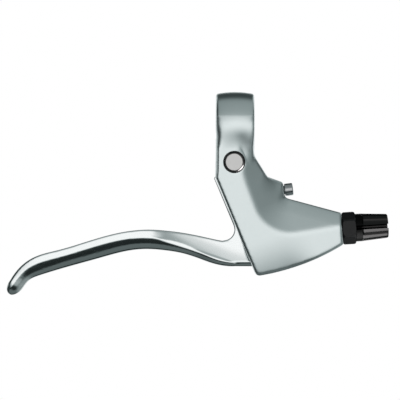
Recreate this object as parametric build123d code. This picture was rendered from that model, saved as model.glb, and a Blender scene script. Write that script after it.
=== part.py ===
"""Flat-bar bicycle brake lever: bracket with bar clamp, lever, pivot, reach screw and cable adjuster.

Millimetres. The origin is on the handlebar's axis, in the middle of the clamp. +X runs along the bar
towards the cable outlet, +Z points from the lever's blade up to the bar, and -Y faces the viewer.
The lever swings in the XZ plane.
"""

from build123d import *
import math
import os

# Bar clamp
bar_diameter = 22.2
bar_clearance = 0.1
clamp_wall = 4.1
clamp_width = 18.0
clamp_crown = 0.9
clamp_corner = 1.2
clamp_side_step = 0.15
clamp_gap = 2.6
clamp_gap_drop = 4.0

# Clamp ears and bolt, behind the bar
ear_width = 12.0
ear_reach = 22.0
ear_height = 6.6
ear_corner = 4.0
ear_round = 1.0
clamp_bolt_diameter = 5.0
clamp_bolt_inset = 5.3
clamp_bolt_head_diameter = 8.5
clamp_bolt_head_height = 5.0
clamp_bolt_key = 4.0
clamp_bolt_key_depth = 2.8
clamp_bolt_short = 0.6
clamp_washer_diameter = 10.0
clamp_washer_thickness = 1.0
bolt_clearance = 0.05

# Bracket outline, seen along +Y
left_bend_x = -9.3
left_bend_drop = 25.1
foot_x = 9.9
foot_drop = 71.2
foot_wall = 1.8
nose_x = 50.3
nose_drop = 48.9
nose_height = 14.8
belly_sag = 2.0
waist_drop = 14.6
boss_shoulder_x = 15.2
boss_shoulder_drop = 24.6
boss_tip_x = 22.5
boss_tip_drop = 27.2
boss_face_height = 7.2
boss_root_round = 2.2
bracket_corner = 1.2
waist_round = 6.0
foot_round = 2.4

# Bracket depth along Y
front_depth_at_bar = 13.9
front_depth_at_nose = 7.6
back_depth = 8.6
front_edge_round = 1.6
back_edge_round = 1.0

# The soft ridge on the front, and the slope that falls from it to the upper edge
ridge_top_x = 0.6
ridge_knee_x = 3.2
ridge_knee_drop = 23.5
ridge_corner_x = 14.6
ridge_corner_below_nose = 4.6
ridge_end_rise = 1.2
ridge_knee_round = 60.0
ridge_corner_round = 18.0
ridge_round = 9.0
slope_angle = 21.0
slope_reach = 17.5
slope_overlap = 8.0

# Pivot: a headed pin from the front, held behind by a washer and a clip
pivot_x = -0.5
pivot_drop = 17.8
pivot_pin_diameter = 5.0
pivot_head_diameter = 9.0
pivot_head_height = 3.1
pivot_head_bevel = 0.65
pivot_recess_diameter = 10.8
pivot_recess_depth = 3.6
pivot_washer_diameter = 8.6
pivot_washer_thickness = 0.8
pivot_clip_diameter = 8.0
pivot_clip_thickness = 0.8
pivot_clip_mouth = 2.6
pivot_groove_depth = 0.7
pivot_groove_clearance = 0.05
pivot_pin_end = 0.9
pin_clearance = 0.05

# Pivot bushes, pressed into the lever's hub from both sides
bush_wall = 0.8
bush_flange_diameter = 9.0
bush_flange_thickness = 0.6
bush_press_gap = 0.02
bush_meeting_gap = 0.2
hub_side_play = 0.1

# Lever: hub and arm in the bracket's slot
lever_slot_width = 9.4
arm_thickness = 7.2
hub_radius = 4.9
hub_clearance = 0.5
hub_rear_face = 1.6
arm_waist_drop = 36.2
arm_heel_x = 14.4
arm_heel_drop = 54.6
lever_proud = 0.7
throat_x = -5.4
throat_drop = 49.4
nipple_diameter = 7.0
nipple_clearance = 0.1
nipple_x = 7.6
nipple_blind = 2.6
cable_slit = 2.2

# Lever blade. Its root is straight, and from there each station to the tip is x, drop below the bar,
# height, depth, height of the flat front strip, how far the strip leans in, and the top corner's radius.
root_x = 0.0
root_drop = 60.8
root_height = 11.8
root_strip = 9.4
root_corner = 0.3
root_proud = 0.05
blade_stations = [
    (-7.5, 60.2, 11.5, 7.3, 9.1, 0.0, 0.3),
    (-15.5, 58.0, 10.5, 7.5, 7.3, 0.05, 0.5),
    (-24.1, 55.8, 9.6, 8.3, 5.3, 0.1, 0.6),
    (-32.9, 54.5, 9.35, 9.4, 4.2, 0.15, 0.7),
    (-40.9, 54.0, 9.25, 10.3, 3.8, 0.2, 0.7),
    (-51.1, 54.9, 9.2, 10.9, 3.4, 0.2, 0.7),
    (-65.0, 58.4, 9.25, 11.0, 3.2, 0.2, 0.7),
    (-82.0, 63.3, 8.9, 10.4, 3.2, 0.2, 0.8),
    (-93.9, 67.0, 8.8, 9.0, 3.2, 0.15, 1.0),
    (-98.6, 69.9, 7.6, 7.9, 2.8, 0.15, 1.3),
    (-102.6, 74.9, 7.1, 7.2, 2.4, 0.1, 1.6),
]
belly_pull_in = 0.35
belly_fullness = 0.62
tip_length = 6.0

# Return spring, coiled behind the hub
spring_wire = 0.8
spring_turns = 1.5
spring_gap = 0.25
spring_leg = 8.0
spring_pocket = 0.6

# Reach screw
reach_screw_diameter = 4.0
reach_head_diameter = 5.8
reach_head_height = 3.9
reach_neck = 0.4
reach_tilt = 7.0
reach_tip_gap = 0.1
reach_key = 2.5
reach_key_depth = 2.0

# Cable adjuster
adjuster_tilt = 3.5
adjuster_thread_diameter = 10.0
adjuster_thread_depth = 9.0
thread_clearance = 0.05
tap_runout = 1.0
cable_channel_diameter = 5.0
lock_nut_flats = 13.6
lock_nut_corner_diameter = 15.2
lock_nut_height = 6.2
lock_nut_round = 1.0
lock_nut_gap = 0.1
barrel_gap = 0.1
barrel_length = 15.2
barrel_collar_length = 2.6
barrel_base_diameter = 13.0
barrel_tip_diameter = 11.2
barrel_tip_round = 1.0
barrel_flutes = 8
barrel_flute_radius = 4.0
barrel_flute_bite = 0.5
barrel_flute_round = 1.5
housing_diameter = 5.0
housing_clearance = 0.05
housing_depth = 11.0
wire_hole_diameter = 2.6
adjuster_slit = 2.0

# Derived places
bore_radius = bar_diameter / 2 + bar_clearance / 2
clamp_radius = bore_radius + clamp_wall
half_width = clamp_width / 2
body_half = half_width - clamp_side_step
pivot_z = -pivot_drop
pin_radius = pivot_pin_diameter / 2
pin_bore = pin_radius + pin_clearance
bush_radius = pin_bore + bush_wall
slot_half = lever_slot_width / 2
slot_floor = -foot_drop + foot_wall
hub_front = -slot_half + hub_side_play + bush_flange_thickness
spring_core_front = hub_rear_face + bush_flange_thickness
spring_core_rear = slot_half - hub_side_play
spring_radius = bush_radius + spring_gap + spring_wire / 2
far = 200.0
outward = (Align.CENTER, Align.CENTER, Align.MIN)
inward = (Align.CENTER, Align.CENTER, Align.MAX)


def slab(face, y_low, y_high):
    """A flat piece with an outline drawn in X and Z, between two depths in Y."""
    return extrude(Plane.XZ.offset(-y_high) * face, y_high - y_low)


def rod(x, z, radius, y_low, y_high):
    """A round bar along Y."""
    return slab(Pos(x, z) * Circle(radius), y_low, y_high)


def rounded(face, corners):
    """An outline with some of its corners rounded, each given as a point and a radius."""
    for point, radius in corners:
        corner = face.vertices().sort_by_distance((point[0], point[1], 0))[0]
        face = fillet(corner, radius)
    return face


def tilted_axis(angle):
    """A direction in the XZ plane, that many degrees above +X."""
    return Vector(math.cos(math.radians(angle)), 0, math.sin(math.radians(angle)))


# The adjuster's axis leaves the middle of the nose, tilted a little up.
adjuster_plane = Plane(origin=(nose_x, 0, -nose_drop), x_dir=(0, 1, 0), z_dir=tilted_axis(adjuster_tilt))
nipple_z = -nose_drop - (nose_x - nipple_x) * math.tan(math.radians(adjuster_tilt))
nut_end = lock_nut_gap + lock_nut_height
barrel_start = nut_end + barrel_gap
barrel_end = barrel_start + barrel_length

# The reach screw enters the middle of the boss face and meets the arm's straight side squarely.
reach_lean = math.tan(math.radians(reach_tilt))
boss_lower_x = boss_tip_x + boss_face_height * reach_lean
boss_lower_drop = boss_tip_drop + boss_face_height
reach_seat = Vector((boss_tip_x + boss_lower_x) / 2, 0, -(boss_tip_drop + boss_lower_drop) / 2)
reach_plane = Plane(origin=reach_seat, x_dir=(0, 1, 0), z_dir=tilted_axis(reach_tilt))
arm_side_x = pivot_x + hub_radius
arm_waist_x = arm_side_x + (arm_waist_drop - pivot_drop) * reach_lean
reach_to_arm = (reach_seat - Vector(arm_side_x, 0, pivot_z)).dot(tilted_axis(reach_tilt))


def bracket_outline():
    """The bracket's outline in X and Z, from the bar's axis to the foot and the nose."""
    up = tilted_axis(adjuster_tilt + 90) * (nose_height / 2)
    nose_top = (nose_x + up.X, -nose_drop + up.Z)
    nose_foot = (nose_x - up.X, -nose_drop - up.Z)
    waist = (body_half, -waist_drop)
    boss_shoulder = (boss_shoulder_x, -boss_shoulder_drop)
    boss_tip = (boss_tip_x, -boss_tip_drop)
    boss_lower = (boss_lower_x, -boss_lower_drop)
    foot = (foot_x, -foot_drop)
    belly = ((foot[0] + nose_foot[0] + belly_sag) / 2, (foot[1] + nose_foot[1]) / 2 - belly_sag)
    edges = Polyline(
        foot,
        (left_bend_x, -left_bend_drop),
        (-body_half, 0),
        (body_half, 0),
        waist,
        boss_shoulder,
        boss_tip,
        boss_lower,
        nose_top,
        nose_foot,
    )
    face = make_face(edges + ThreePointArc(nose_foot, belly, foot))
    corners = [
        (waist, waist_round),
        (boss_shoulder, bracket_corner),
        (boss_tip, bracket_corner),
        (boss_lower, boss_root_round),
        (foot, foot_round),
    ]
    return rounded(face, corners)


def front_y(x, z):
    """Depth of the front face: deep at the bar, shallower towards the nose."""
    share = (x * nose_x - z * nose_drop) / (nose_x**2 + nose_drop**2)
    return -front_depth_at_bar + share * (front_depth_at_bar - front_depth_at_nose)


def front_plane():
    """The tilted front face as a plane that looks at the viewer, with its x along the bar."""
    at_bar = Vector(0, front_y(0, 0), 0)
    along = Vector(nose_x, front_y(nose_x, -nose_drop), -nose_drop) - at_bar
    normal = along.cross(Vector(nose_drop, 0, nose_x)).normalized()
    if normal.Y > 0:
        normal = normal * -1
    return Plane(origin=at_bar, x_dir=Vector(1, 0, 0) - normal * normal.X, z_dir=normal)


def beyond_ridge(inset):
    """The part of the front face beyond the ridge, with its border moved in by a distance."""
    ridge = [
        Vector(ridge_top_x, 0),
        Vector(ridge_knee_x, -ridge_knee_drop),
        Vector(ridge_corner_x, -nose_drop - ridge_corner_below_nose),
        Vector(nose_x, ridge_end_rise - nose_drop),
    ]
    runs = [(b - a).normalized() for a, b in zip(ridge, ridge[1:])]
    sides = [Vector(-run.Y, run.X) for run in runs]
    start = ridge[0] + sides[0] * inset - runs[0] * far
    knee, corner = (
        p + (a + b) * (inset / (1 + a.dot(b))) for p, a, b in zip(ridge[1:], sides, sides[1:])
    )
    end = ridge[-1] + sides[-1] * inset + runs[-1] * far
    points = [(p.X, p.Y) for p in (start, knee, corner, end)]
    face = make_face(Polyline(*points, (end.X, start.Y), close=True))
    return rounded(face, [(points[1], ridge_knee_round - inset), (points[2], ridge_corner_round - inset)])


def front_slope_cutter():
    """What is cut away beyond the ridge, where the front falls back to the upper edge."""
    plane = front_plane()
    rise = math.tan(math.radians(slope_angle))
    deep = plane.offset(-slope_reach * rise) * beyond_ridge(slope_reach)
    shallow = plane.offset(slope_overlap * rise) * beyond_ridge(-slope_overlap)
    return loft([deep, shallow], ruled=True)


def shared_edges(body, first, second):
    """Edges whose two faces pass two tests on their normals, one each."""
    faces = [(face, face.edges()) for face in body.faces()]
    found = []
    for edge in body.edges():
        middle = edge.position_at(0.5)
        normals = [f.normal_at(middle) for f, edges in faces if any(edge.is_same(e) for e in edges)]
        if len(normals) != 2:
            continue
        one, two = normals
        if (first(one) and second(two)) or (first(two) and second(one)):
            found.append(edge)
    return found


def looks_front(normal):
    return normal.Y < -0.7


def looks_back(normal):
    return normal.Y > 0.7


def looks_sideways(normal):
    return abs(normal.Y) < 0.05


def bracket_shell():
    """The bracket below the bar, without its holes: a soft ridge in front and rounded edges."""
    plane = front_plane()
    body = slab(bracket_outline(), -clamp_radius, back_depth)
    body -= plane * Box(2 * far, 2 * far, far, align=outward)
    body -= front_slope_cutter()

    def on_flat(normal):
        return (normal - plane.z_dir).length < 1e-3

    def on_slope(normal):
        return looks_front(normal) and not on_flat(normal)

    body = fillet(shared_edges(body, on_flat, on_slope), ridge_round)
    for looks, radius in ((looks_front, front_edge_round), (looks_back, back_edge_round)):
        rim = [e for e in shared_edges(body, looks, looks_sideways) if e.center().Z < -clamp_corner / 2]
        body = fillet(rim, radius)
    return body


def clamp_ring():
    """The crowned ring around the bar, still solid."""
    edge = clamp_radius - clamp_crown
    profile = make_face(
        Polyline((-half_width, edge), (-half_width, 0), (half_width, 0), (half_width, edge))
        + ThreePointArc((half_width, edge), (0, clamp_radius), (-half_width, edge))
    )
    profile = rounded(profile, [((side * half_width, edge), clamp_corner) for side in (-1, 1)])
    return revolve(profile, Axis.X)


# The ring ends in the upper ear, and the bracket carries the lower one, with the gap between them.
gap_top = -clamp_gap_drop
gap_foot = gap_top - clamp_gap
upper_ear_top = gap_top + ear_height
lower_ear_foot = gap_foot - ear_height
bolt_y = ear_reach - clamp_bolt_inset


def clamp_ears():
    """A block behind the bar that the gap parts into two ears."""
    height = upper_ear_top - lower_ear_foot
    block = Pos(0, 0, lower_ear_foot) * Box(
        ear_width, ear_reach, height, align=(Align.CENTER, Align.MIN, Align.MIN)
    )
    block = fillet(block.edges().filter_by(Axis.Z).group_by(Axis.Y)[-1], ear_corner)
    ends = block.edges().group_by(Axis.Z)
    return fillet(ends[0] + ends[-1], ear_round)


def lever_slot():
    """The space in the bracket where the lever's arm and hub lie and swing."""
    ceiling = pivot_z + hub_radius + hub_clearance
    side = arm_side_x + hub_clearance
    heel = arm_heel_x + hub_clearance
    slot = make_face(
        Polyline(
            (-far, ceiling),
            (side, ceiling),
            (side, pivot_z),
            (arm_waist_x + hub_clearance, -arm_waist_drop),
            (heel, -arm_heel_drop),
            (heel, slot_floor),
            (-far, slot_floor),
            close=True,
        )
    )
    slot = rounded(slot, [((side, ceiling), hub_radius), ((heel, slot_floor), foot_round)])
    return slab(slot, -slot_half, slot_half)


pivot_seat = front_y(pivot_x, pivot_z) + pivot_recess_depth


def bracket():
    body = bracket_shell() + clamp_ring() + clamp_ears()
    body -= Rot(0, 90, 0) * Cylinder(bore_radius, 2 * clamp_width)
    body -= Pos(0, 0, gap_foot) * Box(
        2 * clamp_width, 2 * ear_reach, clamp_gap, align=(Align.CENTER, Align.MIN, Align.MIN)
    )
    body -= lever_slot()
    # Pivot: a recess for the pin's head in front, and a plain bore through both cheeks
    body -= rod(pivot_x, pivot_z, pivot_recess_diameter / 2, -far, pivot_seat)
    body -= rod(pivot_x, pivot_z, pin_bore, -far, far)
    # Clamp bolt through both ears
    bolt_hole = clamp_bolt_diameter / 2 + bolt_clearance
    ears_height = upper_ear_top - lower_ear_foot
    body -= Pos(0, bolt_y, lower_ear_foot) * Cylinder(bolt_hole, ears_height, align=outward)
    # Reach screw, tapped through the boss into the slot
    body -= reach_plane * Cylinder(reach_screw_diameter / 2 + thread_clearance, reach_to_arm, align=inward)
    # Cable: tapped bore in the nose, a channel on to the lever, and a slit below to lay the cable in
    tap_radius = adjuster_thread_diameter / 2 + thread_clearance
    cable_run = nose_x - nipple_x
    body -= adjuster_plane * Cylinder(tap_radius, adjuster_thread_depth + tap_runout, align=inward)
    body -= adjuster_plane * Cylinder(cable_channel_diameter / 2, cable_run, align=inward)
    body -= adjuster_plane * Box(cable_slit, far, cable_run, align=(Align.CENTER, Align.MAX, Align.MAX))
    return body


def socket_screw(radius, length, head_radius, head_height, key, key_depth):
    """A screw along +Z from under its head, which hangs below the origin and has a hexagon socket."""
    screw = Cylinder(radius, length, align=outward)
    head = Cylinder(head_radius, head_height, align=inward)
    head = fillet(head.edges().group_by(Axis.Z)[0], head_height / 8)
    socket = extrude(RegularPolygon(key / 2, 6, major_radius=False), key_depth)
    return screw + head - Pos(0, 0, -head_height) * socket


def clamp_bolt_washer():
    washer = Cylinder(clamp_washer_diameter / 2, clamp_washer_thickness, align=inward)
    washer -= Cylinder(clamp_bolt_diameter / 2 + bolt_clearance, 4 * clamp_washer_thickness)
    return Pos(0, bolt_y, lower_ear_foot) * washer


def clamp_bolt():
    under_head = lower_ear_foot - clamp_washer_thickness
    length = upper_ear_top - clamp_bolt_short - under_head
    bolt = socket_screw(
        clamp_bolt_diameter / 2,
        length,
        clamp_bolt_head_diameter / 2,
        clamp_bolt_head_height,
        clamp_bolt_key,
        clamp_bolt_key_depth,
    )
    return Pos(0, bolt_y, under_head) * bolt


def reach_screw():
    length = reach_to_arm - reach_tip_gap + reach_neck
    screw = socket_screw(
        reach_screw_diameter / 2,
        length,
        reach_head_diameter / 2,
        reach_head_height,
        reach_key,
        reach_key_depth,
    )
    return reach_plane * Pos(0, 0, reach_neck) * Rot(180, 0, 0) * screw


# The pin's groove and clip lie just behind the washer on the bracket's back.
clip_front = back_depth + pivot_washer_thickness
clip_rear = clip_front + pivot_clip_thickness
groove_rear = clip_rear + pivot_groove_clearance
groove_radius = pin_radius - pivot_groove_depth


def pivot_pin():
    """A pin along Y with a bevelled disc head in front and a clip groove behind."""
    head_front = pivot_seat - pivot_head_height
    head = rod(pivot_x, pivot_z, pivot_head_diameter / 2, head_front, pivot_seat)
    head = chamfer(head.edges().group_by(Axis.Y)[0], pivot_head_bevel)
    shank = rod(pivot_x, pivot_z, pin_radius, pivot_seat, groove_rear + pivot_pin_end)
    groove = rod(pivot_x, pivot_z, 2 * pin_radius, clip_front, groove_rear)
    groove -= rod(pivot_x, pivot_z, groove_radius, clip_front, groove_rear)
    return head + shank - groove


def pivot_washer():
    washer = rod(pivot_x, pivot_z, pivot_washer_diameter / 2, back_depth, clip_front)
    return washer - rod(pivot_x, pivot_z, pin_bore, back_depth, clip_front)


def pivot_clip():
    """An open ring that snaps into the pin's groove from below."""
    inside = groove_radius + pivot_groove_clearance
    ring = Circle(pivot_clip_diameter / 2) - Circle(inside)
    ring -= Rectangle(pivot_clip_mouth, pivot_clip_diameter, align=(Align.CENTER, Align.MAX))
    return slab(Pos(pivot_x, pivot_z) * ring, clip_front, clip_rear)


def pivot_bush(low, high, flange_low, flange_high):
    """A plain bush on the pin, with a flange against the hub."""
    bush = rod(pivot_x, pivot_z, bush_radius, low, high)
    bush += rod(pivot_x, pivot_z, bush_flange_diameter / 2, flange_low, flange_high)
    return bush - rod(pivot_x, pivot_z, pin_bore, low - far, high + far)


hub_middle = (hub_front + hub_rear_face) / 2


def pivot_bush_front():
    inner_end = hub_middle - bush_meeting_gap / 2
    return pivot_bush(-slot_half + hub_side_play, inner_end, -slot_half + hub_side_play, hub_front)


def pivot_bush_rear():
    """The rear bush runs on past its flange, as the core of the return spring."""
    inner_end = hub_middle + bush_meeting_gap / 2
    return pivot_bush(inner_end, spring_core_rear, hub_rear_face, spring_core_front)


def blade_plane(x, drop, direction):
    """A plane across the blade, with its x upwards in the XZ plane and its y along +Y."""
    up = direction.cross(Vector(0, 1, 0)) * -1
    return Plane(origin=(x, 0, -drop), x_dir=up, z_dir=direction)


def blade_section(height, depth, strip, lean, corner):
    """Flat top, flat strips in front and behind that lean in a little, and a full round belly."""
    top = height / 2
    half = depth / 2
    shoulder = half - lean
    crease = top - strip
    sag = height - strip

    def side(sign):
        corner_curve = Bezier(
            (top, sign * (shoulder - corner)), (top, sign * shoulder), (top - corner, sign * shoulder)
        )
        strip_line = Line((top - corner, sign * shoulder), (crease, sign * half))
        belly = Bezier(
            (crease, sign * half),
            (crease - sag / 2, sign * (half - belly_pull_in * sag / 2)),
            (-top, sign * half * belly_fullness),
            (-top, 0),
        )
        return [corner_curve, strip_line, belly]

    roof = Line((top, corner - shoulder), (top, shoulder - corner))
    return make_face([roof, *side(-1), *side(1)])


def blade():
    """A straight root, the blade lofted through its stations, and a domed tip."""
    root_face = blade_section(root_height, arm_thickness + 2 * root_proud, root_strip, 0, root_corner)
    root_face = blade_plane(root_x, root_drop, Vector(-1, 0, 0)) * root_face
    root = extrude(root_face, root_x - arm_heel_x)
    points = [Vector(root_x, 0, -root_drop)] + [Vector(x, 0, -drop) for x, drop, *_ in blade_stations]
    ahead = points[2:] + points[-1:]
    directions = [(b - a).normalized() for a, b in zip(points, ahead)]
    sections = [root_face]
    for (x, drop, *sizes), direction in zip(blade_stations, directions):
        sections.append(blade_plane(x, drop, direction) * blade_section(*sizes))
    x, drop, *sizes = blade_stations[-1]
    tip_plane = blade_plane(x, drop, directions[-1])
    dome = [sections[-1]]
    for share in (0.4, 0.7, 0.9, 0.98):
        smaller = scale(blade_section(*sizes), math.sqrt(1 - share**2))
        dome.append(tip_plane.offset(share * tip_length) * smaller)
    return root + loft(sections) + loft(dome)


def arm_outline():
    """The arm from the hub down to the blade's root, with the round throat on its left."""
    edge = Vector(foot_x - left_bend_x, left_bend_drop - foot_drop).normalized()
    out = Vector(edge.Y, -edge.X)
    bend = Vector(left_bend_x, -left_bend_drop) + out * lever_proud
    throat = Vector(throat_x, -throat_drop)
    radius = (throat - bend).dot(out)
    on_arm = throat - out * radius
    on_blade = throat - Vector(0, radius)
    middle = throat + (on_arm + on_blade - throat * 2).normalized() * radius
    arc = ThreePointArc(on_arm, middle, on_blade)
    edges = Polyline(
        on_blade,
        (throat_x, -root_drop),
        (arm_heel_x, -root_drop),
        (arm_heel_x, -arm_heel_drop),
        (arm_waist_x, -arm_waist_drop),
        (arm_side_x, pivot_z),
        (pivot_x - hub_radius, pivot_z),
        bend,
        on_arm,
    )
    return make_face(edges + arc)


def lever():
    arm = slab(arm_outline(), -arm_thickness / 2, arm_thickness / 2)
    body = arm + rod(pivot_x, pivot_z, hub_radius, hub_front, arm_thickness / 2) + blade()
    # Room behind the hub for the spring's coil and for the leg that pushes the lever
    body -= rod(pivot_x, pivot_z, hub_radius + spring_pocket, hub_rear_face, far)
    leg_room = spring_wire + 2 * spring_gap
    body -= Pos(pivot_x - spring_radius, hub_rear_face, pivot_z) * Box(
        leg_room, far, spring_leg + leg_room, align=(Align.CENTER, Align.MIN, Align.MAX)
    )
    body -= rod(pivot_x, pivot_z, bush_radius + bush_press_gap, -far, far)
    # Cross hole for the cable's nipple and a slit for the cable, both open behind
    body -= rod(nipple_x, nipple_z, nipple_diameter / 2 + nipple_clearance, -nipple_blind, far)
    body -= Pos(nipple_x, -cable_slit / 2, nipple_z) * Box(
        far, far, cable_slit, align=(Align.MIN, Align.MIN, Align.CENTER)
    )
    return body


def return_spring():
    """A torsion spring around the rear bush: one leg in the lever's pocket, one on the bracket."""
    wire = spring_wire / 2
    start_y = spring_core_front + spring_gap + wire
    end_y = spring_core_rear - spring_gap / 2 - wire
    rise = end_y - start_y
    path = Helix(pitch=rise / spring_turns, height=rise, radius=spring_radius, lefthand=True)
    section = Plane(origin=path @ 0, z_dir=path % 0) * Circle(wire)
    place = Pos(pivot_x, start_y, pivot_z) * Rot(-90, 0, 0) * Rot(0, 0, 180)
    coil = place * sweep(section, path)
    lever_leg = Pos(pivot_x - spring_radius, start_y, pivot_z) * (
        Cylinder(wire, spring_leg, align=inward) + Sphere(wire)
    )
    bracket_leg = Pos(pivot_x + spring_radius, end_y, pivot_z) * (
        Cylinder(wire, spring_leg, align=inward) + Sphere(wire)
    )
    return coil + lever_leg + bracket_leg


def lock_nut():
    """A hexagon nut with its corners turned off, on the adjuster's thread."""
    nut = extrude(RegularPolygon(lock_nut_flats / 2, 6, major_radius=False, rotation=30), lock_nut_height)
    turned = Cylinder(lock_nut_corner_diameter / 2, lock_nut_height, align=outward)
    nut &= fillet(turned.edges().filter_by(GeomType.CIRCLE), lock_nut_round)
    nut -= Cylinder(adjuster_thread_diameter / 2 + thread_clearance, 4 * lock_nut_height)
    return adjuster_plane.offset(lock_nut_gap) * nut


def barrel_adjuster():
    """A fluted barrel on a hollow threaded stem, slit in front so that the cable can be laid in."""
    base = barrel_base_diameter / 2
    tip = barrel_tip_diameter / 2
    stem = adjuster_thread_diameter / 2
    collar_end = barrel_start + barrel_collar_length
    profile = make_face(
        Polyline(
            (0, -adjuster_thread_depth),
            (stem, -adjuster_thread_depth),
            (stem, barrel_start),
            (base, barrel_start),
            (base, collar_end),
            (tip, barrel_end),
            (0, barrel_end),
            close=True,
        )
    )
    profile = rounded(profile, [((tip, barrel_end), barrel_tip_round)])
    barrel = revolve(Plane.XZ * profile, Axis.Z)
    taper = math.degrees(math.atan2(base - tip, barrel_end - collar_end))
    for index in range(barrel_flutes):
        turn = Rot(0, 0, 360 * (index + 0.5) / barrel_flutes)
        flute = Cylinder(barrel_flute_radius, barrel_length, align=outward)
        flute = fillet(flute.edges().group_by(Axis.Z)[0], barrel_flute_round)
        at = Pos(base + barrel_flute_radius - barrel_flute_bite, 0, collar_end)
        barrel -= turn * at * Rot(0, -taper, 0) * flute
    housing_radius = housing_diameter / 2 + housing_clearance
    barrel -= Pos(0, 0, barrel_end) * Cylinder(housing_radius, housing_depth, align=inward)
    barrel -= Cylinder(wire_hole_diameter / 2, far)
    barrel -= Box(far, adjuster_slit, far, align=(Align.MAX, Align.CENTER, Align.CENTER))
    return adjuster_plane * barrel


pieces = [
    bracket,
    clamp_bolt,
    clamp_bolt_washer,
    lever,
    pivot_pin,
    pivot_bush_front,
    pivot_bush_rear,
    pivot_washer,
    pivot_clip,
    return_spring,
    reach_screw,
    lock_nut,
    barrel_adjuster,
]

os.makedirs("parts", exist_ok=True)
for piece in pieces:
    export_step(piece(), f"parts/{piece.__name__}.step")
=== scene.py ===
# %% [markdown]
# # A bicycle brake lever
#
# The lever clamps to a flat handlebar. A silver bracket holds a polished blade on a pivot pin, and a
# black barrel at the right takes the brake cable. The solids come from the CAD frame at their real
# size, so this lesson is about light, metal and the small forms that a hand would feel.

# %% Load the frame
import math

import bmesh
import bpy
from mathutils import Matrix, Vector


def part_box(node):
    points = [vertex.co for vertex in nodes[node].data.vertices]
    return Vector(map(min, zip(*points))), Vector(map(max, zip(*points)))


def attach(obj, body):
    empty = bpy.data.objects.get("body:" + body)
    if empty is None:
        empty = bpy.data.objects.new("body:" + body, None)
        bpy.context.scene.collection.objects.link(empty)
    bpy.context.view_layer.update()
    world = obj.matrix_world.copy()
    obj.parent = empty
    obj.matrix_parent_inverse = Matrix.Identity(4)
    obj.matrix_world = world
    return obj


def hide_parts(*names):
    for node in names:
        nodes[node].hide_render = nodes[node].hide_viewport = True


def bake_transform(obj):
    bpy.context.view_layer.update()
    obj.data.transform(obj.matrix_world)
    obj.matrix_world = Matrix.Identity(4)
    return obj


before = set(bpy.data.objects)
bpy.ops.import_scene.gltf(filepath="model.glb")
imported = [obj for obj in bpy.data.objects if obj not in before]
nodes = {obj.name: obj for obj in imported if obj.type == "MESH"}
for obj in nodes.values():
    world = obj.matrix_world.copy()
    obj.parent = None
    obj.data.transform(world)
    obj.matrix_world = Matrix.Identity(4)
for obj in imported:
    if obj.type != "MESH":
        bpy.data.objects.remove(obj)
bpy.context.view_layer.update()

# %% [markdown]
# ## The camera
#
# The photograph looks straight at the side of the lever through a long lens. The clamp is a standard
# 22.2 mm one, which makes a pixel 0.47 mm wide, and the bar's axis passes through one known pixel. Those
# two facts place the camera. An orthographic camera would do too, but a far one with a narrow view is
# closer to the real lens and keeps the outline almost free of perspective.

# %% Camera
MM = 0.001
photo_width = 400
pixel = 0.47 * MM
bar_pixel = (235, 124.5)
camera_distance = 1.3
sensor_width = 36.0
near_clip = 0.05

view_width = photo_width * pixel
aim_x = (photo_width / 2 - bar_pixel[0]) * pixel
aim_z = (bar_pixel[1] - photo_width / 2) * pixel
camera_data = bpy.data.cameras.new("camera")
camera_data.sensor_width = sensor_width
camera_data.lens = sensor_width * camera_distance / view_width
camera_data.clip_start = near_clip
camera = bpy.data.objects.new("camera", camera_data)
camera.location = (aim_x, -camera_distance, aim_z)
camera.rotation_euler = (math.radians(90), 0, 0)
scene = bpy.context.scene
scene.collection.objects.link(camera)
scene.camera = camera
print("lens", round(camera_data.lens, 1), "mm")

# %% [markdown]
# ## Shader nodes
#
# A shader is a small network of nodes. Adding and joining every node by hand takes many lines, and a node
# group would hide what happens. A small class with plain verbs keeps each network readable, for the studio
# and for the finishes.

# %% Shader tree


class Tree:
    """Short ways to add shader nodes and join them."""

    def __init__(self, tree):
        self.tree = tree

    def add(self, kind, **settings):
        """A new node with its settings."""
        node = self.tree.nodes.new("ShaderNode" + kind)
        for key, value in settings.items():
            setattr(node, key, value)
        return node

    def join(self, source, target):
        """Joins an output to an input."""
        self.tree.links.new(source, target)

    def feed(self, slot, value):
        """Sets an input to a number, or joins an output to it."""
        if isinstance(value, (int, float)):
            slot.default_value = value
        else:
            self.join(value, slot)

    def math(self, operation, *values):
        """The result of one operation on one or two values."""
        node = self.add("Math", operation=operation)
        for slot, value in zip(node.inputs, values):
            self.feed(slot, value)
        return node.outputs[0]

    def map(self, value, low, high, to_low=0.0, to_high=1.0, smooth=False):
        """A value moved from one range to another."""
        node = self.add("MapRange", interpolation_type="SMOOTHSTEP" if smooth else "LINEAR")
        self.join(value, node.inputs["Value"])
        node.inputs["From Min"].default_value = low
        node.inputs["From Max"].default_value = high
        node.inputs["To Min"].default_value = to_low
        node.inputs["To Max"].default_value = to_high
        return node.outputs["Result"]

    def blend(self, factor, first, second):
        """A number between two numbers."""
        node = self.add("Mix", data_type="FLOAT")
        for slot, value in zip((node.inputs[0], node.inputs[2], node.inputs[3]), (factor, first, second)):
            self.feed(slot, value)
        return node.outputs[0]

    def tint(self, factor, first, second):
        """A colour between two colours."""
        node = self.add("Mix", data_type="RGBA")
        self.join(factor, node.inputs[0])
        node.inputs[6].default_value = (*first, 1)
        node.inputs[7].default_value = (*second, 1)
        return node.outputs[2]

    def ramp(self, value, stops):
        """A smooth curve through stops, each a place from 0 to 1 and a brightness."""
        node = self.add("ValToRGB")
        node.color_ramp.interpolation = "EASE"
        elements = node.color_ramp.elements
        while len(elements) < len(stops):
            elements.new(1.0)
        for element, (place, brightness) in zip(elements, stops):
            element.position = place
            element.color = (brightness, brightness, brightness, 1)
        self.join(value, node.inputs[0])
        return node.outputs["Color"]


print("shader tree has", [verb for verb in vars(Tree) if not verb.startswith("_")])

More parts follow.
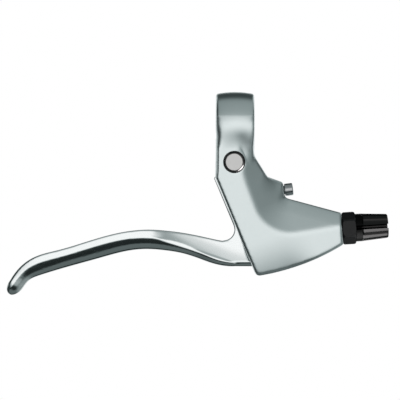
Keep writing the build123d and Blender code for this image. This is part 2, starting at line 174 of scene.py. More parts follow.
# %% [markdown]
# ## The studio's dome
#
# Polished metal has no colour of its own: it shows the room. Many lamps and cards could make that room, but
# each leaves a hard edge on the blade. So the room is a smooth dome, drawn in the world's shader. Along its
# middle the brightness runs from the lens over the top to the back and below to the floor. Towards the two
# sides it fades to one tone each, dark left and grey right, with lighter ends and a light back.

# %% Dome
scene.view_settings.view_transform = "Standard"

# Degrees up from the lens, in the plane that runs over the top, and the brightness there.
dome_tones = [
    (-180, 0.95),
    (-158, 0.80),
    (-136, 0.02),
    (-114, 0.02),
    (-102, 0.14),
    (-60, 0.15),
    (-50, 0.02),
    (-40, 0.02),
    (-26, 0.55),
    (-14, 1.0),
    (-6, 1.12),
    (10, 1.12),
    (20, 0.80),
    (30, 0.42),
    (62, 0.37),
    (94, 0.33),
    (112, 0.04),
    (145, 0.04),
    (163, 0.80),
    (180, 0.95),
]
left_tone = 0.04
right_tone = 0.30
right_far_tone = 0.05
end_tone = 0.6
back_tone = 0.9
dark_tint = (0.72, 1.0, 1.0)
white = (1, 1, 1)

# Where each tone starts and is full, along X to the sides and along Y to the back.
middle_half = 0.1
side_start, side_full = 0.24, 0.62
right_start, right_full = 0.73, 0.9
end_start, end_full = 0.95, 0.99
behind_start, behind_full = 0.35, 0.6


def studio_dome(name):
    """A world whose brightness depends only on the direction."""
    world = bpy.data.worlds.new(name)
    world.use_nodes = True
    tree = Tree(world.node_tree)
    background = world.node_tree.nodes["Background"]
    direction = tree.add("SeparateXYZ")
    tree.join(tree.add("TexCoord").outputs["Generated"], direction.inputs[0])
    x, y, z = direction.outputs
    angle = tree.math("ARCTAN2", z, tree.math("MULTIPLY", y, -1.0))
    place = tree.map(angle, -math.pi, math.pi)
    middle = tree.ramp(place, [((degrees + 180) / 360, brightness) for degrees, brightness in dome_tones])
    right = tree.map(x, right_start, right_full, right_tone, right_far_tone, smooth=True)
    side = tree.blend(tree.map(x, -middle_half, middle_half, smooth=True), left_tone, right)
    away = tree.map(tree.math("ABSOLUTE", x), side_start, side_full, smooth=True)
    ends = tree.map(tree.math("ABSOLUTE", x), end_start, end_full, smooth=True)
    behind = tree.map(y, behind_start, behind_full, smooth=True)
    side = tree.blend(behind, tree.blend(ends, side, end_tone), back_tone)
    strength = tree.blend(away, middle, side)
    tree.join(strength, background.inputs["Strength"])
    tree.join(tree.tint(tree.math("SQRT", strength), dark_tint, white), background.inputs["Color"])
    return world


scene.world = studio_dome("soft_studio")
print("dome with", len(dome_tones), "tones along its middle")

# %% [markdown]
# ## The white page
#
# The lever stands in front of a white page. The world could be white to the camera alone, but then metal
# would never mirror the page. A real sheet behind the lever, only as large as the picture needs, is white
# to the camera, to mirrors and through glass, and plain paper to all other light.

# %% White sheet
sheet_back = 1.5
sheet_margin = 1.1
paper_colour = (0.9, 0.9, 0.9)


def page_white(name, colour):
    """A diffuse surface that is plain white to the camera, to mirrors and through glass."""
    material = bpy.data.materials.new(name)
    material.use_nodes = True
    material.node_tree.nodes.clear()
    tree = Tree(material.node_tree)
    path = tree.add("LightPath")
    mirrored = tree.math("MAXIMUM", path.outputs["Is Glossy Ray"], path.outputs["Is Transmission Ray"])
    mix = tree.add("MixShader")
    paper = tree.add("BsdfDiffuse")
    paper.inputs["Color"].default_value = (*colour, 1)
    tree.join(tree.math("MAXIMUM", mirrored, path.outputs["Is Camera Ray"]), mix.inputs["Fac"])
    tree.join(paper.outputs[0], mix.inputs[1])
    tree.join(tree.add("Emission").outputs[0], mix.inputs[2])
    tree.join(mix.outputs[0], tree.add("OutputMaterial").inputs["Surface"])
    return material


def standing_sheet(name, size, location, material):
    """A square sheet that faces the camera."""
    mesh = bpy.data.meshes.new(name)
    shape = bmesh.new()
    bmesh.ops.create_grid(shape, x_segments=1, y_segments=1, size=size / 2)
    bmesh.ops.rotate(shape, matrix=Matrix.Rotation(math.radians(90), 3, "X"), verts=shape.verts)
    bmesh.ops.translate(shape, vec=location, verts=shape.verts)
    shape.to_mesh(mesh)
    shape.free()
    sheet = bpy.data.objects.new(name, mesh)
    sheet.data.materials.append(material)
    scene.collection.objects.link(sheet)


sheet_size = sheet_margin * view_width * (camera_distance + sheet_back) / camera_distance
white_paper = page_white("white_paper", paper_colour)
standing_sheet("white_sheet", sheet_size, (aim_x, sheet_back, aim_z), white_paper)
print("sheet", round(sheet_size, 3), "m wide")

# %% [markdown]
# ## Panels for the dark pieces
#
# Black plastic and black plating show almost nothing but what they mirror. A brighter dome would wash out
# the silver, so three soft panels stand below the lever. Further down, each is linked to the few pieces
# that need it, so the rest of the lever never sees it.

# %% Panels


def softbox(name, side, location, aim, brightness):
    """A square lamp of a chosen brightness, with the dome's white as 1."""
    lamp = bpy.data.lights.new(name, "AREA")
    lamp.shape = "RECTANGLE"
    lamp.size = side
    lamp.size_y = side
    lamp.energy = brightness * math.pi * side * side
    holder = bpy.data.objects.new(name, lamp)
    holder.location = location
    holder.rotation_euler = (Vector(aim) - Vector(location)).to_track_quat("-Z", "Y").to_euler()
    scene.collection.objects.link(holder)
    return holder


low_panel = softbox("low_panel", side=0.28, location=(0.2, -0.08, -0.2), aim=(0.2, -0.08, 0), brightness=1.0)
barrel_panel = softbox(
    "barrel_panel", side=0.2, location=(0.075, -0.06, -0.2), aim=(0.075, -0.03, -0.05), brightness=5.0
)
ring_panel = softbox(
    "ring_panel", side=0.14, location=(0.155, -0.16, -0.15), aim=(0, -0.013, -0.018), brightness=14.0
)
print("panels", [(panel.name, round(panel.data.energy, 2)) for panel in (low_panel, barrel_panel, ring_panel)])

# %% [markdown]
# ## Soft skins
#
# A cast bracket and a forged, polished lever have no sharp edges. A bevel on the CAD mesh would fail where
# many small faces meet. So a copy of each solid gets an even skin: Voxel Remesh spreads points evenly over
# its surface, and smoothing then wears the edges round. Decimate makes the skin light again where it is flat.

# %% Skin tools
merge_distance = 0.001 * MM
crease_angle = math.radians(50)


def applied(piece):
    """Turns a piece's modifiers into its mesh."""
    shown = piece.evaluated_get(bpy.context.evaluated_depsgraph_get())
    mesh = bpy.data.meshes.new_from_object(shown)
    piece.modifiers.clear()
    piece.data = mesh


def merged_copy(name, plug=None):
    """A copy of a CAD piece with its points merged, and with a plug's mesh added."""
    mesh = bpy.data.meshes.new(name + "_skin")
    shape = bmesh.new()
    shape.from_mesh(nodes[name].data)
    if plug:
        shape.from_mesh(plug)
    bmesh.ops.remove_doubles(shape, verts=shape.verts, dist=merge_distance)
    for face in shape.faces:
        face.smooth = True
    shape.to_mesh(mesh)
    shape.free()
    copy = bpy.data.objects.new(name + "_skin", mesh)
    scene.collection.objects.link(copy)
    return copy


def even_skin(name, voxel, plug=None):
    """A copy of a CAD piece with its points spread evenly over its surface."""
    skin = merged_copy(name, plug)
    remesh = skin.modifiers.new("even", "REMESH")
    remesh.mode = "VOXEL"
    remesh.voxel_size = voxel
    remesh.use_smooth_shade = True
    applied(skin)
    return skin


print("points closer than", merge_distance / MM, "mm are merged")

# %% Smoothing and thinning
smooth_step = 0.5
skin_triangles = 185000


def smooth(skin, rounds, weight=None):
    """Smooths a skin, everywhere or by a weight that depends on the place."""
    modifier = skin.modifiers.new("smooth", "SMOOTH")
    modifier.factor = smooth_step
    modifier.iterations = rounds
    if weight:
        group = skin.vertex_groups.new(name="weight")
        for vertex in skin.data.vertices:
            share = weight(vertex.co)
            if share > 0:
                group.add([vertex.index], share, "REPLACE")
        modifier.vertex_group = "weight"
    applied(skin)
    skin.vertex_groups.clear()


def thin(skin):
    """Leaves a skin fine where it bends and coarse where it is flat."""
    modifier = skin.modifiers.new("thin", "DECIMATE")
    modifier.ratio = min(1.0, skin_triangles / (2 * len(skin.data.polygons)))
    applied(skin)
    skin.data.set_sharp_from_angle(angle=crease_angle)


def fade(value):
    """A smooth step from 0 to 1."""
    value = min(max(value, 0.0), 1.0)
    return value * value * (3 - 2 * value)


print("a skin keeps about", skin_triangles, "triangles")

# %% [markdown]
# ## The pivot's recess
#
# The pin's head sits in a round recess with a crisp rim. Remeshing leaves such a rim jagged, and finer
# voxels only make the steps smaller. So the recess is treated as a founder would: it is cast full, with a
# plug in the copy, and bored out with a boolean cut when the skin is smooth.

# %% Recess plug and cutter
rod_sides = 128
ray_start = -0.1
face_beside = 6.0 * MM
plug_radius = 5.6 * MM
plug_depth = 3.55 * MM
plug_face = 1.0 * MM
recess_radius = 5.2 * MM
recess_depth = 3.65 * MM
cutter_ahead = 2.0 * MM


def rod(centre, radius, front, back):
    """The mesh of a round rod along Y."""
    mesh = bpy.data.meshes.new("rod")
    shape = bmesh.new()
    turn = Matrix.Rotation(math.radians(90), 4, "X")
    place = Matrix.Translation((centre.x, (front + back) / 2, centre.z)) @ turn
    length = back - front
    bmesh.ops.create_cone(
        shape, cap_ends=True, segments=rod_sides, radius1=radius, radius2=radius, depth=length, matrix=place
    )
    shape.to_mesh(mesh)
    shape.free()
    return mesh


def front_of(skin, x, z):
    """Where a skin's front lies along Y at one place, seen from the camera."""
    return skin.ray_cast(Vector((x, ray_start, z)), Vector((0, 1, 0)))[1].y


head_low, head_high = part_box("pivot_pin")
pin_centre = Vector(((head_low.x + head_high.x) / 2, head_low.y, (head_low.z + head_high.z) / 2))
bpy.context.view_layer.update()
recess_front = front_of(nodes["bracket"], pin_centre.x - face_beside, pin_centre.z)
recess_plug = rod(pin_centre, plug_radius, recess_front, recess_front + plug_depth)
for vertex in recess_plug.vertices:
    if vertex.co.y < recess_front + plug_face:
        vertex.co.y = front_of(nodes["bracket"], vertex.co.x, vertex.co.z)
recess_cutter = rod(pin_centre, recess_radius, recess_front - cutter_ahead, recess_front + recess_depth)
print("recess opens at", round(recess_front / MM, 2), "mm")

# %% [markdown]
# ## The bracket's skin
#
# The bracket is one casting, and no edge on it is sharp. Its skin starts with small voxels, so that the
# thin walls of the clamp survive, and two dozen rounds of smoothing take the edges off. Fewer rounds leave
# the voxels' steps to be seen, and many more would shrink the thin walls.

# %% Bracket skin
bracket_voxel = 0.28 * MM
bracket_rounds = 24

bracket_skin = even_skin("bracket", bracket_voxel, recess_plug)
smooth(bracket_skin, bracket_rounds)
print("bracket skin", len(bracket_skin.data.polygons), "faces")

# %% [markdown]
# ## The flow below the clamp ring
#
# On the real casting the clamp ring flows into the flat front without a seam. A fillet or plain smoothing
# would only round the corner. So the skin is drawn forward, column by column, to a curve that leaves the
# ring in the ring's own direction and meets the front in the front's. This is a cubic curve, set by two
# heights and two slopes.

# %% Seam line
# The seam runs from high to low. Beside the pivot, right of the turn, it ends further down.
seam_high = 2.0 * MM
seam_low = -11.6 * MM
seam_low_right = -20.0 * MM
seam_turn = 2.5 * MM
seam_turn_width = 5.0 * MM
seam_side = 9.2 * MM
seam_side_fade = 1.6 * MM
seam_step = 0.5 * MM
seam_slope_step = 1.5 * MM


def seam_end(x):
    """Where the seam ends below: above the pivot, and further down beside it."""
    return seam_low + (seam_low_right - seam_low) * fade((x - seam_turn) / seam_turn_width)


def flow(skin, x):
    """The casting's line at one x, from the clamp ring down to the flat front, smooth at both ends."""
    x = min(max(x, seam_side_fade - seam_side), seam_side - seam_side_fade)
    start = front_of(skin, x, seam_high)
    low = seam_end(x)
    end = front_of(skin, x, low)
    span = low - seam_high
    start_slope = (start - front_of(skin, x, seam_high + seam_slope_step)) / -seam_slope_step * span
    end_slope = (front_of(skin, x, low - seam_step) - end) / -seam_step * span

    def depth(z):
        s = (z - seam_high) / span
        return (
            (2 * s**3 - 3 * s**2 + 1) * start
            + (s**3 - 2 * s**2 + s) * start_slope
            + (3 * s**2 - 2 * s**3) * end
            + (s**3 - s**2) * end_slope
        )

    return depth


print("seam ends", round(seam_end(0) / MM, 1), "mm down above the pivot")

# %% Fill the seam
seam_front = -7.5 * MM
seam_facing = -0.4
seam_right = 10.2 * MM
seam_fade = 2.0 * MM
right_side = 6.0 * MM
right_low = -17.0 * MM
right_fade = 5.0 * MM


def fill_seam(skin):
    """Moves the hollow below the clamp ring forward to the casting's flowing line, and counts its points."""
    bpy.context.view_layer.update()
    columns = range(math.floor(-seam_side / seam_step) - 1, math.ceil(seam_right / seam_step) + 2)
    lines = {column: flow(skin, column * seam_step) for column in columns}
    facing = [v for v in skin.data.vertices if v.co.y < seam_front and v.normal.y < seam_facing]
    moved = 0
    for vertex in facing:
        co = vertex.co
        if not -seam_side < co.x < seam_right or not seam_end(co.x) < co.z < seam_high:
            continue
        column = math.floor(co.x / seam_step)
        part = co.x / seam_step - column
        line = (1 - part) * lines[column](co.z) + part * lines[column + 1](co.z)
        share = fade(min(seam_side + co.x, seam_right - co.x) / seam_side_fade)
        share *= 1 - fade((co.x - right_side) / seam_fade) * (1 - fade((co.z - right_low) / right_fade))
        co.y += share * min(0, line - co.y)
        moved += 1
    return moved


print("seam filled with", fill_seam(bracket_skin), "points")

# %% [markdown]
# ## Rolled edges
#
# The front looks flat, but near its edges the casting rolls back a little, and there the metal mirrors a
# darker part of the dome. A wide bevel would change the outline. Instead the skin's points move back along
# the view only, most at the edge and less inward, so the outline stays where it is.

# %% Rolled edges
roll_behind = 6.0 * MM

# In mm, each edge from its start to its end with the casting on its left.
rolled_edges = {
    "lower edge": dict(start=(5.9, -75.0), end=(41.3, -62.0), reach=17, depth=1.7, fade_in=1, fade_out=19),
    "left edge": dict(start=(-9.0, 0.0), end=(-9.3, -25.1), reach=1.8, depth=0.8, fade_in=6, fade_out=3),
    "screw boss": dict(start=(27.0, -28.8), end=(12.5, -23.6), reach=10, depth=0.9, fade_in=2, fade_out=9),
    "upper edge": dict(start=(54.0, -42.5), end=(20.0, -33.4), reach=7, depth=0.7, fade_in=3, fade_out=7),
}


def roll_off(skin, start, end, reach, depth, fade_in, fade_out):
    """Rolls the front back towards an edge, given in mm from start to end with the casting on its left."""
    start = Vector(start) * MM
    run = Vector(end) * MM - start
    length = run.length
    run.normalize()
    inward = Vector((-run.y, run.x))
    for vertex in skin.data.vertices:
        co = vertex.co
        place = Vector((co.x, co.z)) - start
        near = 1 - max(place.dot(inward), 0.0) / (reach * MM)
        if co.y > 0 or near <= 0:
            continue
        along = place.dot(run)
        share = fade(along / (fade_in * MM)) * fade((length - along) / (fade_out * MM))
        co.y += depth * MM * near * near * share * fade(-co.y / roll_behind)


for edge, roll in rolled_edges.items():
    roll_off(bracket_skin, **roll)
    print(edge, "rolled back by up to", roll["depth"], "mm")

# %% [markdown]
# ## The bracket, smoothed and bored
#
# The filled seam still shows where each column met the old surface. Many rounds of smoothing, weighted so
# that they fade out around the seam, remove that. Then the recess is bored with a boolean cut, which keeps
# its rim sharp, and the finished skin takes the place of the CAD bracket.

# %% Finish the bracket
seam_rounds = 300


def seam_weight(co):
    """Full around the filled seam, none beyond it."""
    if co.y > seam_front:
        return 0
    above = (seam_high + seam_fade - co.z) / seam_fade
    below = (co.z - seam_end(co.x)) / seam_fade
    side = (seam_side - abs(co.x)) / seam_side_fade
    return fade(above) * fade(below) * fade(side)


def cut(skin, mesh):
    """Cuts a mesh out of a skin and keeps the cut's edges sharp."""
    cutter = bpy.data.objects.new("cutter", mesh)
    scene.collection.objects.link(cutter)
    modifier = skin.modifiers.new("cut", "BOOLEAN")
    modifier.operation = "DIFFERENCE"
    modifier.solver = "MANIFOLD"
    modifier.object = cutter
    applied(skin)
    bpy.data.objects.remove(cutter)


smooth(bracket_skin, seam_rounds, seam_weight)
cut(bracket_skin, recess_cutter)
thin(bracket_skin)
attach(bracket_skin, "base")
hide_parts("bracket")
print("bracket finished with", len(bracket_skin.data.polygons), "faces")

# %% [markdown]
# ## The lever
#
# The lever is forged in one piece and polished, and its side isn't quite flat. Where the blade starts, the
# side leans back and mirrors the grey above the lens. A plain rotation of those points would bend the
# outline, so they move along the view only, by a slope that eases off upward. The arm above is smoothed
# further, so that the narrow strip of it beside the bracket has a soft edge.

# %% Lean of the lever's side
# A line along the lower edge, as X and Z, and how the lean grows along it, above it and behind the front.
lean_low_left = Vector((-36.0, -54.4)) * MM
lean_low_right = Vector((-0.8, -65.9)) * MM
lean_start = -42.0 * MM
lean_grow = 12.0 * MM
lean_most = 0.31
lean_root = 0.2
lean_curve = 0.016 / MM
lean_cap = 6.0 * MM
lean_soft = 1.5 * MM
lean_top = -38.0 * MM
lean_top_fade = 12.0 * MM
lean_behind = 3.0 * MM


def lean_back(skin):
    """Leans the lever's side back above a line along its lower edge, most where the blade starts."""
    for vertex in skin.data.vertices:
        co = vertex.co
        along = (co.x - lean_low_left[0]) / (lean_low_right[0] - lean_low_left[0])
        low = lean_low_left[1] + along * (lean_low_right[1] - lean_low_left[1])
        height = co.z - low
        if co.y > 0 or height <= 0:
            continue
        rest = 1 - min(height / (2 * lean_cap), 1.0)
        height = lean_cap * (1 - rest * rest)
        slope = lean_most + (lean_root - lean_most) * min(max(along, 0.0), 1.0)
        share = fade((co.x - lean_start) / lean_grow) * fade(height / lean_soft) * fade(-co.y / lean_behind)
        share *= fade((lean_top - co.z) / lean_top_fade)
        co.y += share * (slope * height + lean_curve * height * height / 2)


print("lean of", round(math.degrees(math.atan(lean_most)), 1), "degrees at most, before its curve")

# %% Lever skin
lever_voxel = 0.2 * MM
lever_rounds = 12
arm_rounds = 40
arm_left = -12.0 * MM
arm_low = -58.0 * MM
arm_fade = 6.0 * MM


def arm_weight(co):
    """Full on the lever's arm above its root, none on the blade."""
    return fade((co.x - arm_left) / arm_fade) * fade((co.z - arm_low) / arm_fade)


lever_skin = even_skin("lever", lever_voxel)
lean_back(lever_skin)
smooth(lever_skin, lever_rounds)
smooth(lever_skin, arm_rounds, arm_weight)
thin(lever_skin)
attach(lever_skin, "lever_arm")
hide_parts("lever")
print("lever finished with", len(lever_skin.data.polygons), "faces")

# %% [markdown]
# ## The reach screw
#
# The small screw on the boss sets how far the blade stands from the bar. It is turned and plated, so its
# edges are only slightly round. The same even skin does that, with much finer voxels, and turns with the
# screw's own body.

# %% Reach screw
reach_voxel = 0.12 * MM
reach_rounds = 14

reach_skin = even_skin("reach_screw", reach_voxel)
smooth(reach_skin, reach_rounds)
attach(reach_skin, "reach_adjuster")
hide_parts("reach_screw")
print("reach screw finished with", len(reach_skin.data.polygons), "faces")

# %% [markdown]
# ## The return spring
#
# A torsion spring around the pivot pushes the blade away from the bar. Its front leg moves with the lever
# and its rear leg rests on the bracket. As one rigid piece it would cut into one of them. Its copy here has
# its points merged and its creases kept sharp, takes the CAD spring's place, and is attached to neither body.

spring_skin = merged_copy("return_spring")
spring_skin.data.set_sharp_from_angle(angle=crease_angle)
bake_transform(spring_skin)
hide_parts("return_spring")

# %% [markdown]
# ## The black ring of painted shade around the pin's head
#
# A thin black ring fills the gap between the pin's head and its recess. It is painted shade: a dark piece put
# where the recess's gap lies in shadow. Its rounded lip catches one bright crescent from a lamp. A torus would
# be too round for it. A closed profile, spun about the pin's axis, gives the lip its own slope and the ring a
# back that stays hidden.

# %% Pivot ring of painted shade
ring_segments = 128
ring_back = 2.9

# In mm, the distance from the pin's axis and the depth behind its head's front.
ring_profile = [
    (3.94, 0.07),
    (4.05, 0.06),
    (4.2, 0.11),
    (4.45, 0.23),
    (4.7, 0.36),
    (4.9, 0.5),
    (5.03, 0.7),
    (5.1, 1.0),
    (5.15, 1.6),
    (5.15, ring_back),
    (4.55, ring_back),
    (4.55, 0.7),
]


def lathe(name, profile, centre, segments):
    """A ring turned about a line along Y, from a closed profile of radius and depth."""
    mesh = bpy.data.meshes.new(name)
    shape = bmesh.new()
    points = [shape.verts.new((radius, depth, 0)) for radius, depth in profile]
    edges = [shape.edges.new((a, b)) for a, b in zip(points, points[1:] + points[:1])]
    outline = points + edges
    bmesh.ops.spin(
        shape, geom=outline, cent=(0, 0, 0), axis=(0, 1, 0), angle=math.tau, steps=segments, use_merge=True
    )
    bmesh.ops.recalc_face_normals(shape, faces=shape.faces)
    bmesh.ops.translate(shape, vec=centre, verts=shape.verts)
    for face in shape.faces:
        face.smooth = True
    shape.to_mesh(mesh)
    shape.free()
    turned = bpy.data.objects.new(name, mesh)
    scene.collection.objects.link(turned)
    return turned


# A dark ring of painted shade, put where the recess's gap lies in shadow.
recess_shade_ring = lathe("recess_shade_ring", [(r * MM, y * MM) for r, y in ring_profile], pin_centre, ring_segments)
recess_shade_ring.data.set_sharp_from_angle(angle=crease_angle)
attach(recess_shade_ring, "base")
print("pivot ring with", len(recess_shade_ring.data.polygons), "faces")

# %% [markdown]
# ## Finishes
#
# Every finish here is a metal or a plastic, so it is one shader with the right roughness, broken up a
# little by noise: no real surface is perfectly even. Image textures could do that, but noise needs no
# unwrapping. It is read in object space, in metres, so it has the same grain on every piece.

# %% Patterns


def object_noise(material, grain, detail=4.0):
    """Noise over the surface with grains of the given size in metres."""
    tree = Tree(material.node_tree)
    noise = tree.add("TexNoise")
    noise.inputs["Scale"].default_value = 1 / grain
    noise.inputs["Detail"].default_value = detail
    tree.join(tree.add("TexCoord").outputs["Object"], noise.inputs["Vector"])
    return noise.outputs["Fac"]


def drawn_lines(material, size, detail=3.0):
    """Noise stretched into lines, with its grain along X, Y and Z in metres."""
    tree = Tree(material.node_tree)
    stretch = tree.add("Mapping")
    stretch.inputs["Scale"].default_value = [1 / grain for grain in size]
    tree.join(tree.add("TexCoord").outputs["Object"], stretch.inputs["Vector"])
    noise = tree.add("TexNoise")
    noise.inputs["Scale"].default_value = 1.0
    noise.inputs["Detail"].default_value = detail
    tree.join(stretch.outputs["Vector"], noise.inputs["Vector"])
    return noise.outputs["Fac"]


def turned_lines(material, centre, spacing, wobble=1.5):
    """Rings about a line along Y, as a lathe leaves them."""
    tree = Tree(material.node_tree)
    shift = tree.add("Mapping")
    shift.inputs["Location"].default_value = -Vector(centre)
    tree.join(tree.add("TexCoord").outputs["Object"], shift.inputs["Vector"])
    rings = tree.add("TexWave", wave_type="RINGS", rings_direction="Y")
    rings.inputs["Scale"].default_value = math.tau / (20 * spacing)
    rings.inputs["Distortion"].default_value = wobble
    tree.join(shift.outputs["Vector"], rings.inputs["Vector"])
    return rings.outputs["Fac"]


print("patterns: noise, drawn lines and turned lines")

# %% Finish tools
# Most of Blender's noise lies between these two values.
noise_low, noise_high = 0.3, 0.7


def shader_of(material):
    """The material's main shader."""
    return material.node_tree.nodes["Principled BSDF"]


def finish(name, colour, metallic, roughness):
    """A new material with its plain values set, ready for detail."""
    material = bpy.data.materials.new(name)
    material.use_nodes = True
    shader = shader_of(material)
    shader.inputs["Base Color"].default_value = (*colour, 1)
    shader.inputs["Metallic"].default_value = metallic
    shader.inputs["Roughness"].default_value = roughness
    return material


def tone(material, noise, light, dark):
    """Lets noise move the base colour between two near tones."""
    tree = Tree(material.node_tree)
    tree.join(tree.tint(noise, dark, light), shader_of(material).inputs["Base Color"])


def dull(material, noise, low, high):
    """Lets noise move the roughness between two values."""
    tree = Tree(material.node_tree)
    tree.join(tree.map(noise, noise_low, noise_high, low, high), shader_of(material).inputs["Roughness"])


def bump(material, noise, depth):
    """Tiny height from noise, in metres."""
    tree = Tree(material.node_tree)
    relief = tree.add("Bump")
    relief.inputs["Strength"].default_value = 1.0
    relief.inputs["Distance"].default_value = depth
    tree.join(noise, relief.inputs["Height"])
    tree.join(relief.outputs["Normal"], shader_of(material).inputs["Normal"])


print("finish tools ready, noise read from", noise_low, "to", noise_high)

# %% [markdown]
# ## Satin silver and polished silver
#
# The bracket is blasted with fine beads and anodised: an even satin with a grain that is felt more than
# seen. The lever is polished along its length, so its faint lines run that way. Both are metal, and only
# the roughness and the direction of the grain tell them apart.

# %% Satin silver
satin_silver = finish("satin_silver", colour=(0.74, 0.80, 0.80), metallic=1.0, roughness=0.3)
cloud = object_noise(satin_silver, grain=0.005)
tone(satin_silver, cloud, light=(0.75, 0.81, 0.81), dark=(0.73, 0.79, 0.79))
dull(satin_silver, object_noise(satin_silver, grain=0.0006), low=0.285, high=0.315)
bump(satin_silver, object_noise(satin_silver, grain=0.00025), depth=0.000003)
print("satin silver with", len(satin_silver.node_tree.nodes), "nodes")

# %% Polished silver
polished_silver = finish("polished_silver", colour=(0.80, 0.83, 0.83), metallic=1.0, roughness=0.1)
cloud = object_noise(polished_silver, grain=0.008)
tone(polished_silver, cloud, light=(0.81, 0.84, 0.84), dark=(0.79, 0.82, 0.82))
dull(polished_silver, drawn_lines(polished_silver, size=(0.02, 0.0005, 0.0005)), low=0.085, high=0.12)
bump(polished_silver, drawn_lines(polished_silver, size=(0.03, 0.0003, 0.0003)), depth=0.0000004)
print("polished silver with", len(polished_silver.node_tree.nodes), "nodes")

# %% [markdown]
# ## Steel
#
# Three kinds of steel hold the lever together. The pin's head is faced off on a lathe, which leaves fine
# rings. The screws are zinc plated, slightly cloudy. The spring is drawn wire with a trace of oil. Rings
# could be modelled, but they are finer than a pixel, so a wave pattern makes them as bump.

# %% Turned steel
turned_steel = finish("turned_steel", colour=(0.68, 0.67, 0.66), metallic=1.0, roughness=0.4)
cloud = object_noise(turned_steel, grain=0.002)
tone(turned_steel, cloud, light=(0.69, 0.68, 0.67), dark=(0.66, 0.65, 0.64))
dull(turned_steel, object_noise(turned_steel, grain=0.0004), low=0.38, high=0.42)
bump(turned_steel, turned_lines(turned_steel, pin_centre, spacing=0.0004), depth=0.000004)
print("turned steel with", len(turned_steel.node_tree.nodes), "nodes")

# %% Screw steel
screw_steel = finish("screw_steel", colour=(0.46, 0.47, 0.48), metallic=1.0, roughness=0.2)
cloud = object_noise(screw_steel, grain=0.0015)
tone(screw_steel, cloud, light=(0.48, 0.49, 0.5), dark=(0.43, 0.44, 0.45))
dull(screw_steel, object_noise(screw_steel, grain=0.0008), low=0.16, high=0.24)
bump(screw_steel, object_noise(screw_steel, grain=0.0003), depth=0.000002)
print("screw steel with", len(screw_steel.node_tree.nodes), "nodes")

# %% Spring wire
dark_spring = finish("dark_spring", colour=(0.3, 0.3, 0.31), metallic=1.0, roughness=0.35)
cloud = object_noise(dark_spring, grain=0.002)
tone(dark_spring, cloud, light=(0.32, 0.32, 0.33), dark=(0.27, 0.27, 0.28))
dull(dark_spring, object_noise(dark_spring, grain=0.0015), low=0.3, high=0.42)
bump(dark_spring, object_noise(dark_spring, grain=0.0002), depth=0.000002)
print("spring wire with", len(dark_spring.node_tree.nodes), "nodes")

# %% [markdown]
# ## Black bushes, nut and the ring of painted shade
#
# The bushes are moulded bearing plastic and the nut is satin black, both without metal in their shader. The
# ring around the pin is painted shade, black where the recess's gap lies in shadow, and is a dark metal that
# mirrors sharply. Pure black would lose every form, so each keeps a little tone and a fine moulded or turned
# skin.

# %% Bearing plastic
bearing_plastic = finish("bearing_plastic", colour=(0.03, 0.03, 0.032), metallic=0.0, roughness=0.5)
dull(bearing_plastic, object_noise(bearing_plastic, grain=0.001), low=0.45, high=0.55)
bump(bearing_plastic, object_noise(bearing_plastic, grain=0.0003), depth=0.000004)
print("bearing plastic with", len(bearing_plastic.node_tree.nodes), "nodes")

# %% Satin black nut
satin_black = finish("satin_black", colour=(0.012, 0.012, 0.013), metallic=0.0, roughness=0.38)
shader_of(satin_black).inputs["Specular IOR Level"].default_value = 0.3
cloud = object_noise(satin_black, grain=0.002)
tone(satin_black, cloud, light=(0.014, 0.014, 0.015), dark=(0.01, 0.01, 0.011))
dull(satin_black, object_noise(satin_black, grain=0.001), low=0.33, high=0.43)
bump(satin_black, object_noise(satin_black, grain=0.0003), depth=0.000004)
print("satin black with", len(satin_black.node_tree.nodes), "nodes")

# %% Black ring of painted shade
# Painted shade: this near-black metal stands in for the shadow in the recess's gap.
recess_shade_black = finish("recess_shade_black", colour=(0.1, 0.1, 0.1), metallic=1.0, roughness=0.2)
cloud = object_noise(recess_shade_black, grain=0.002)
tone(recess_shade_black, cloud, light=(0.11, 0.105, 0.105), dark=(0.09, 0.085, 0.085))
dull(recess_shade_black, object_noise(recess_shade_black, grain=0.0015), low=0.18, high=0.24)
bump(recess_shade_black, turned_lines(recess_shade_black, pin_centre, spacing=0.0003), depth=0.000002)
print("ring black with", len(recess_shade_black.node_tree.nodes), "nodes")

# %% [markdown]
# ## The black barrel
#
# The barrel has a dull collar by the nut and glossy flutes for the fingers. Two materials would need the
# solid's faces sorted. One material can change along X instead, at the place where the flutes start.

# %% Barrel black
flute_start = 60.0 * MM
flute_edge = 0.1 * MM
collar_colour = (0.008, 0.008, 0.008)
flute_colour = (0.032, 0.031, 0.031)

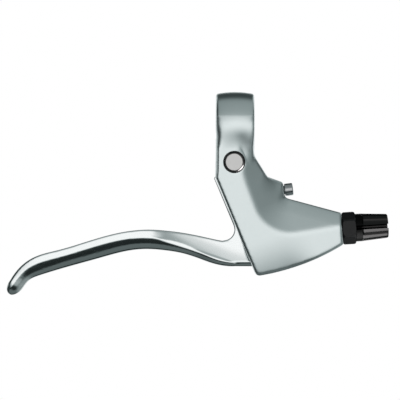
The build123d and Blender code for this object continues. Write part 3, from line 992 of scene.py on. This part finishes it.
barrel_black = finish("barrel_black", colour=(0.03, 0.03, 0.03), metallic=1.0, roughness=0.2)
barrel_shader = shader_of(barrel_black)
barrel_tree = Tree(barrel_black.node_tree)
along_barrel = barrel_tree.add("SeparateXYZ")
barrel_tree.join(barrel_tree.add("TexCoord").outputs["Object"], along_barrel.inputs[0])
fluted = barrel_tree.map(
    along_barrel.outputs["X"], flute_start - flute_edge, flute_start + flute_edge, smooth=True
)
barrel_tree.join(barrel_tree.tint(fluted, collar_colour, flute_colour), barrel_shader.inputs["Base Color"])
speckle = object_noise(barrel_black, grain=0.0012)
collar_dull = barrel_tree.map(speckle, noise_low, noise_high, 0.36, 0.44)
flute_gloss = barrel_tree.map(speckle, noise_low, noise_high, 0.16, 0.24)
barrel_tree.join(barrel_tree.blend(fluted, collar_dull, flute_gloss), barrel_shader.inputs["Roughness"])
bump(barrel_black, object_noise(barrel_black, grain=0.0004), depth=0.000002)
print("barrel black with", len(barrel_black.node_tree.nodes), "nodes")

# %% [markdown]
# ## Each piece gets its finish
#
# A finish belongs to a piece by name, so one table says what is made of what. A skin wears the finish of
# the solid that it replaces.

# %% Finish each piece
finishes = {
    "bracket": satin_silver,
    "lever": polished_silver,
    "clamp_bolt": screw_steel,
    "clamp_bolt_washer": screw_steel,
    "reach_screw": screw_steel,
    "pivot_pin": turned_steel,
    "pivot_washer": turned_steel,
    "pivot_clip": dark_spring,
    "return_spring": dark_spring,
    "pivot_bush_front": bearing_plastic,
    "pivot_bush_rear": bearing_plastic,
    "lock_nut": satin_black,
    "barrel_adjuster": barrel_black,
}
skins = {"bracket": bracket_skin, "lever": lever_skin, "reach_screw": reach_skin, "return_spring": spring_skin}
recess_shade_ring.data.materials.append(recess_shade_black)
for name, material in finishes.items():
    for piece in (nodes[name], skins.get(name)):
        if piece:
            piece.data.materials.clear()
            piece.data.materials.append(material)
print("finished", len(finishes), "pieces and the pivot ring")

# %% [markdown]
# ## Which panel lights what
#
# Dark and polished pieces need something to mirror: the nut and the blade's tip get the low panel, the
# barrel's flutes a brighter one, and the black ring one bright crescent. Light linking limits each panel to
# its pieces. It also keeps other pieces from shading them, as the recess's rim would shade the ring.

# %% Light linking


def light_only(panel, *pieces):
    """Lets a panel light only some pieces, with nothing else in its way."""
    mirrors = bpy.data.collections.new(panel.name + "_mirrors")
    for piece in pieces:
        mirrors.objects.link(piece)
    panel.light_linking.receiver_collection = mirrors
    panel.light_linking.blocker_collection = mirrors
    print(panel.name, "lights", [piece.name for piece in pieces])


light_only(low_panel, nodes["lock_nut"], lever_skin)
light_only(barrel_panel, nodes["barrel_adjuster"])
light_only(ring_panel, recess_shade_ring)

# %% [markdown] The dressed lever should stay inside the CAD one's box: its skins wear edges
# down, and the seam is filled where there was a hollow. Its size is not measured here.
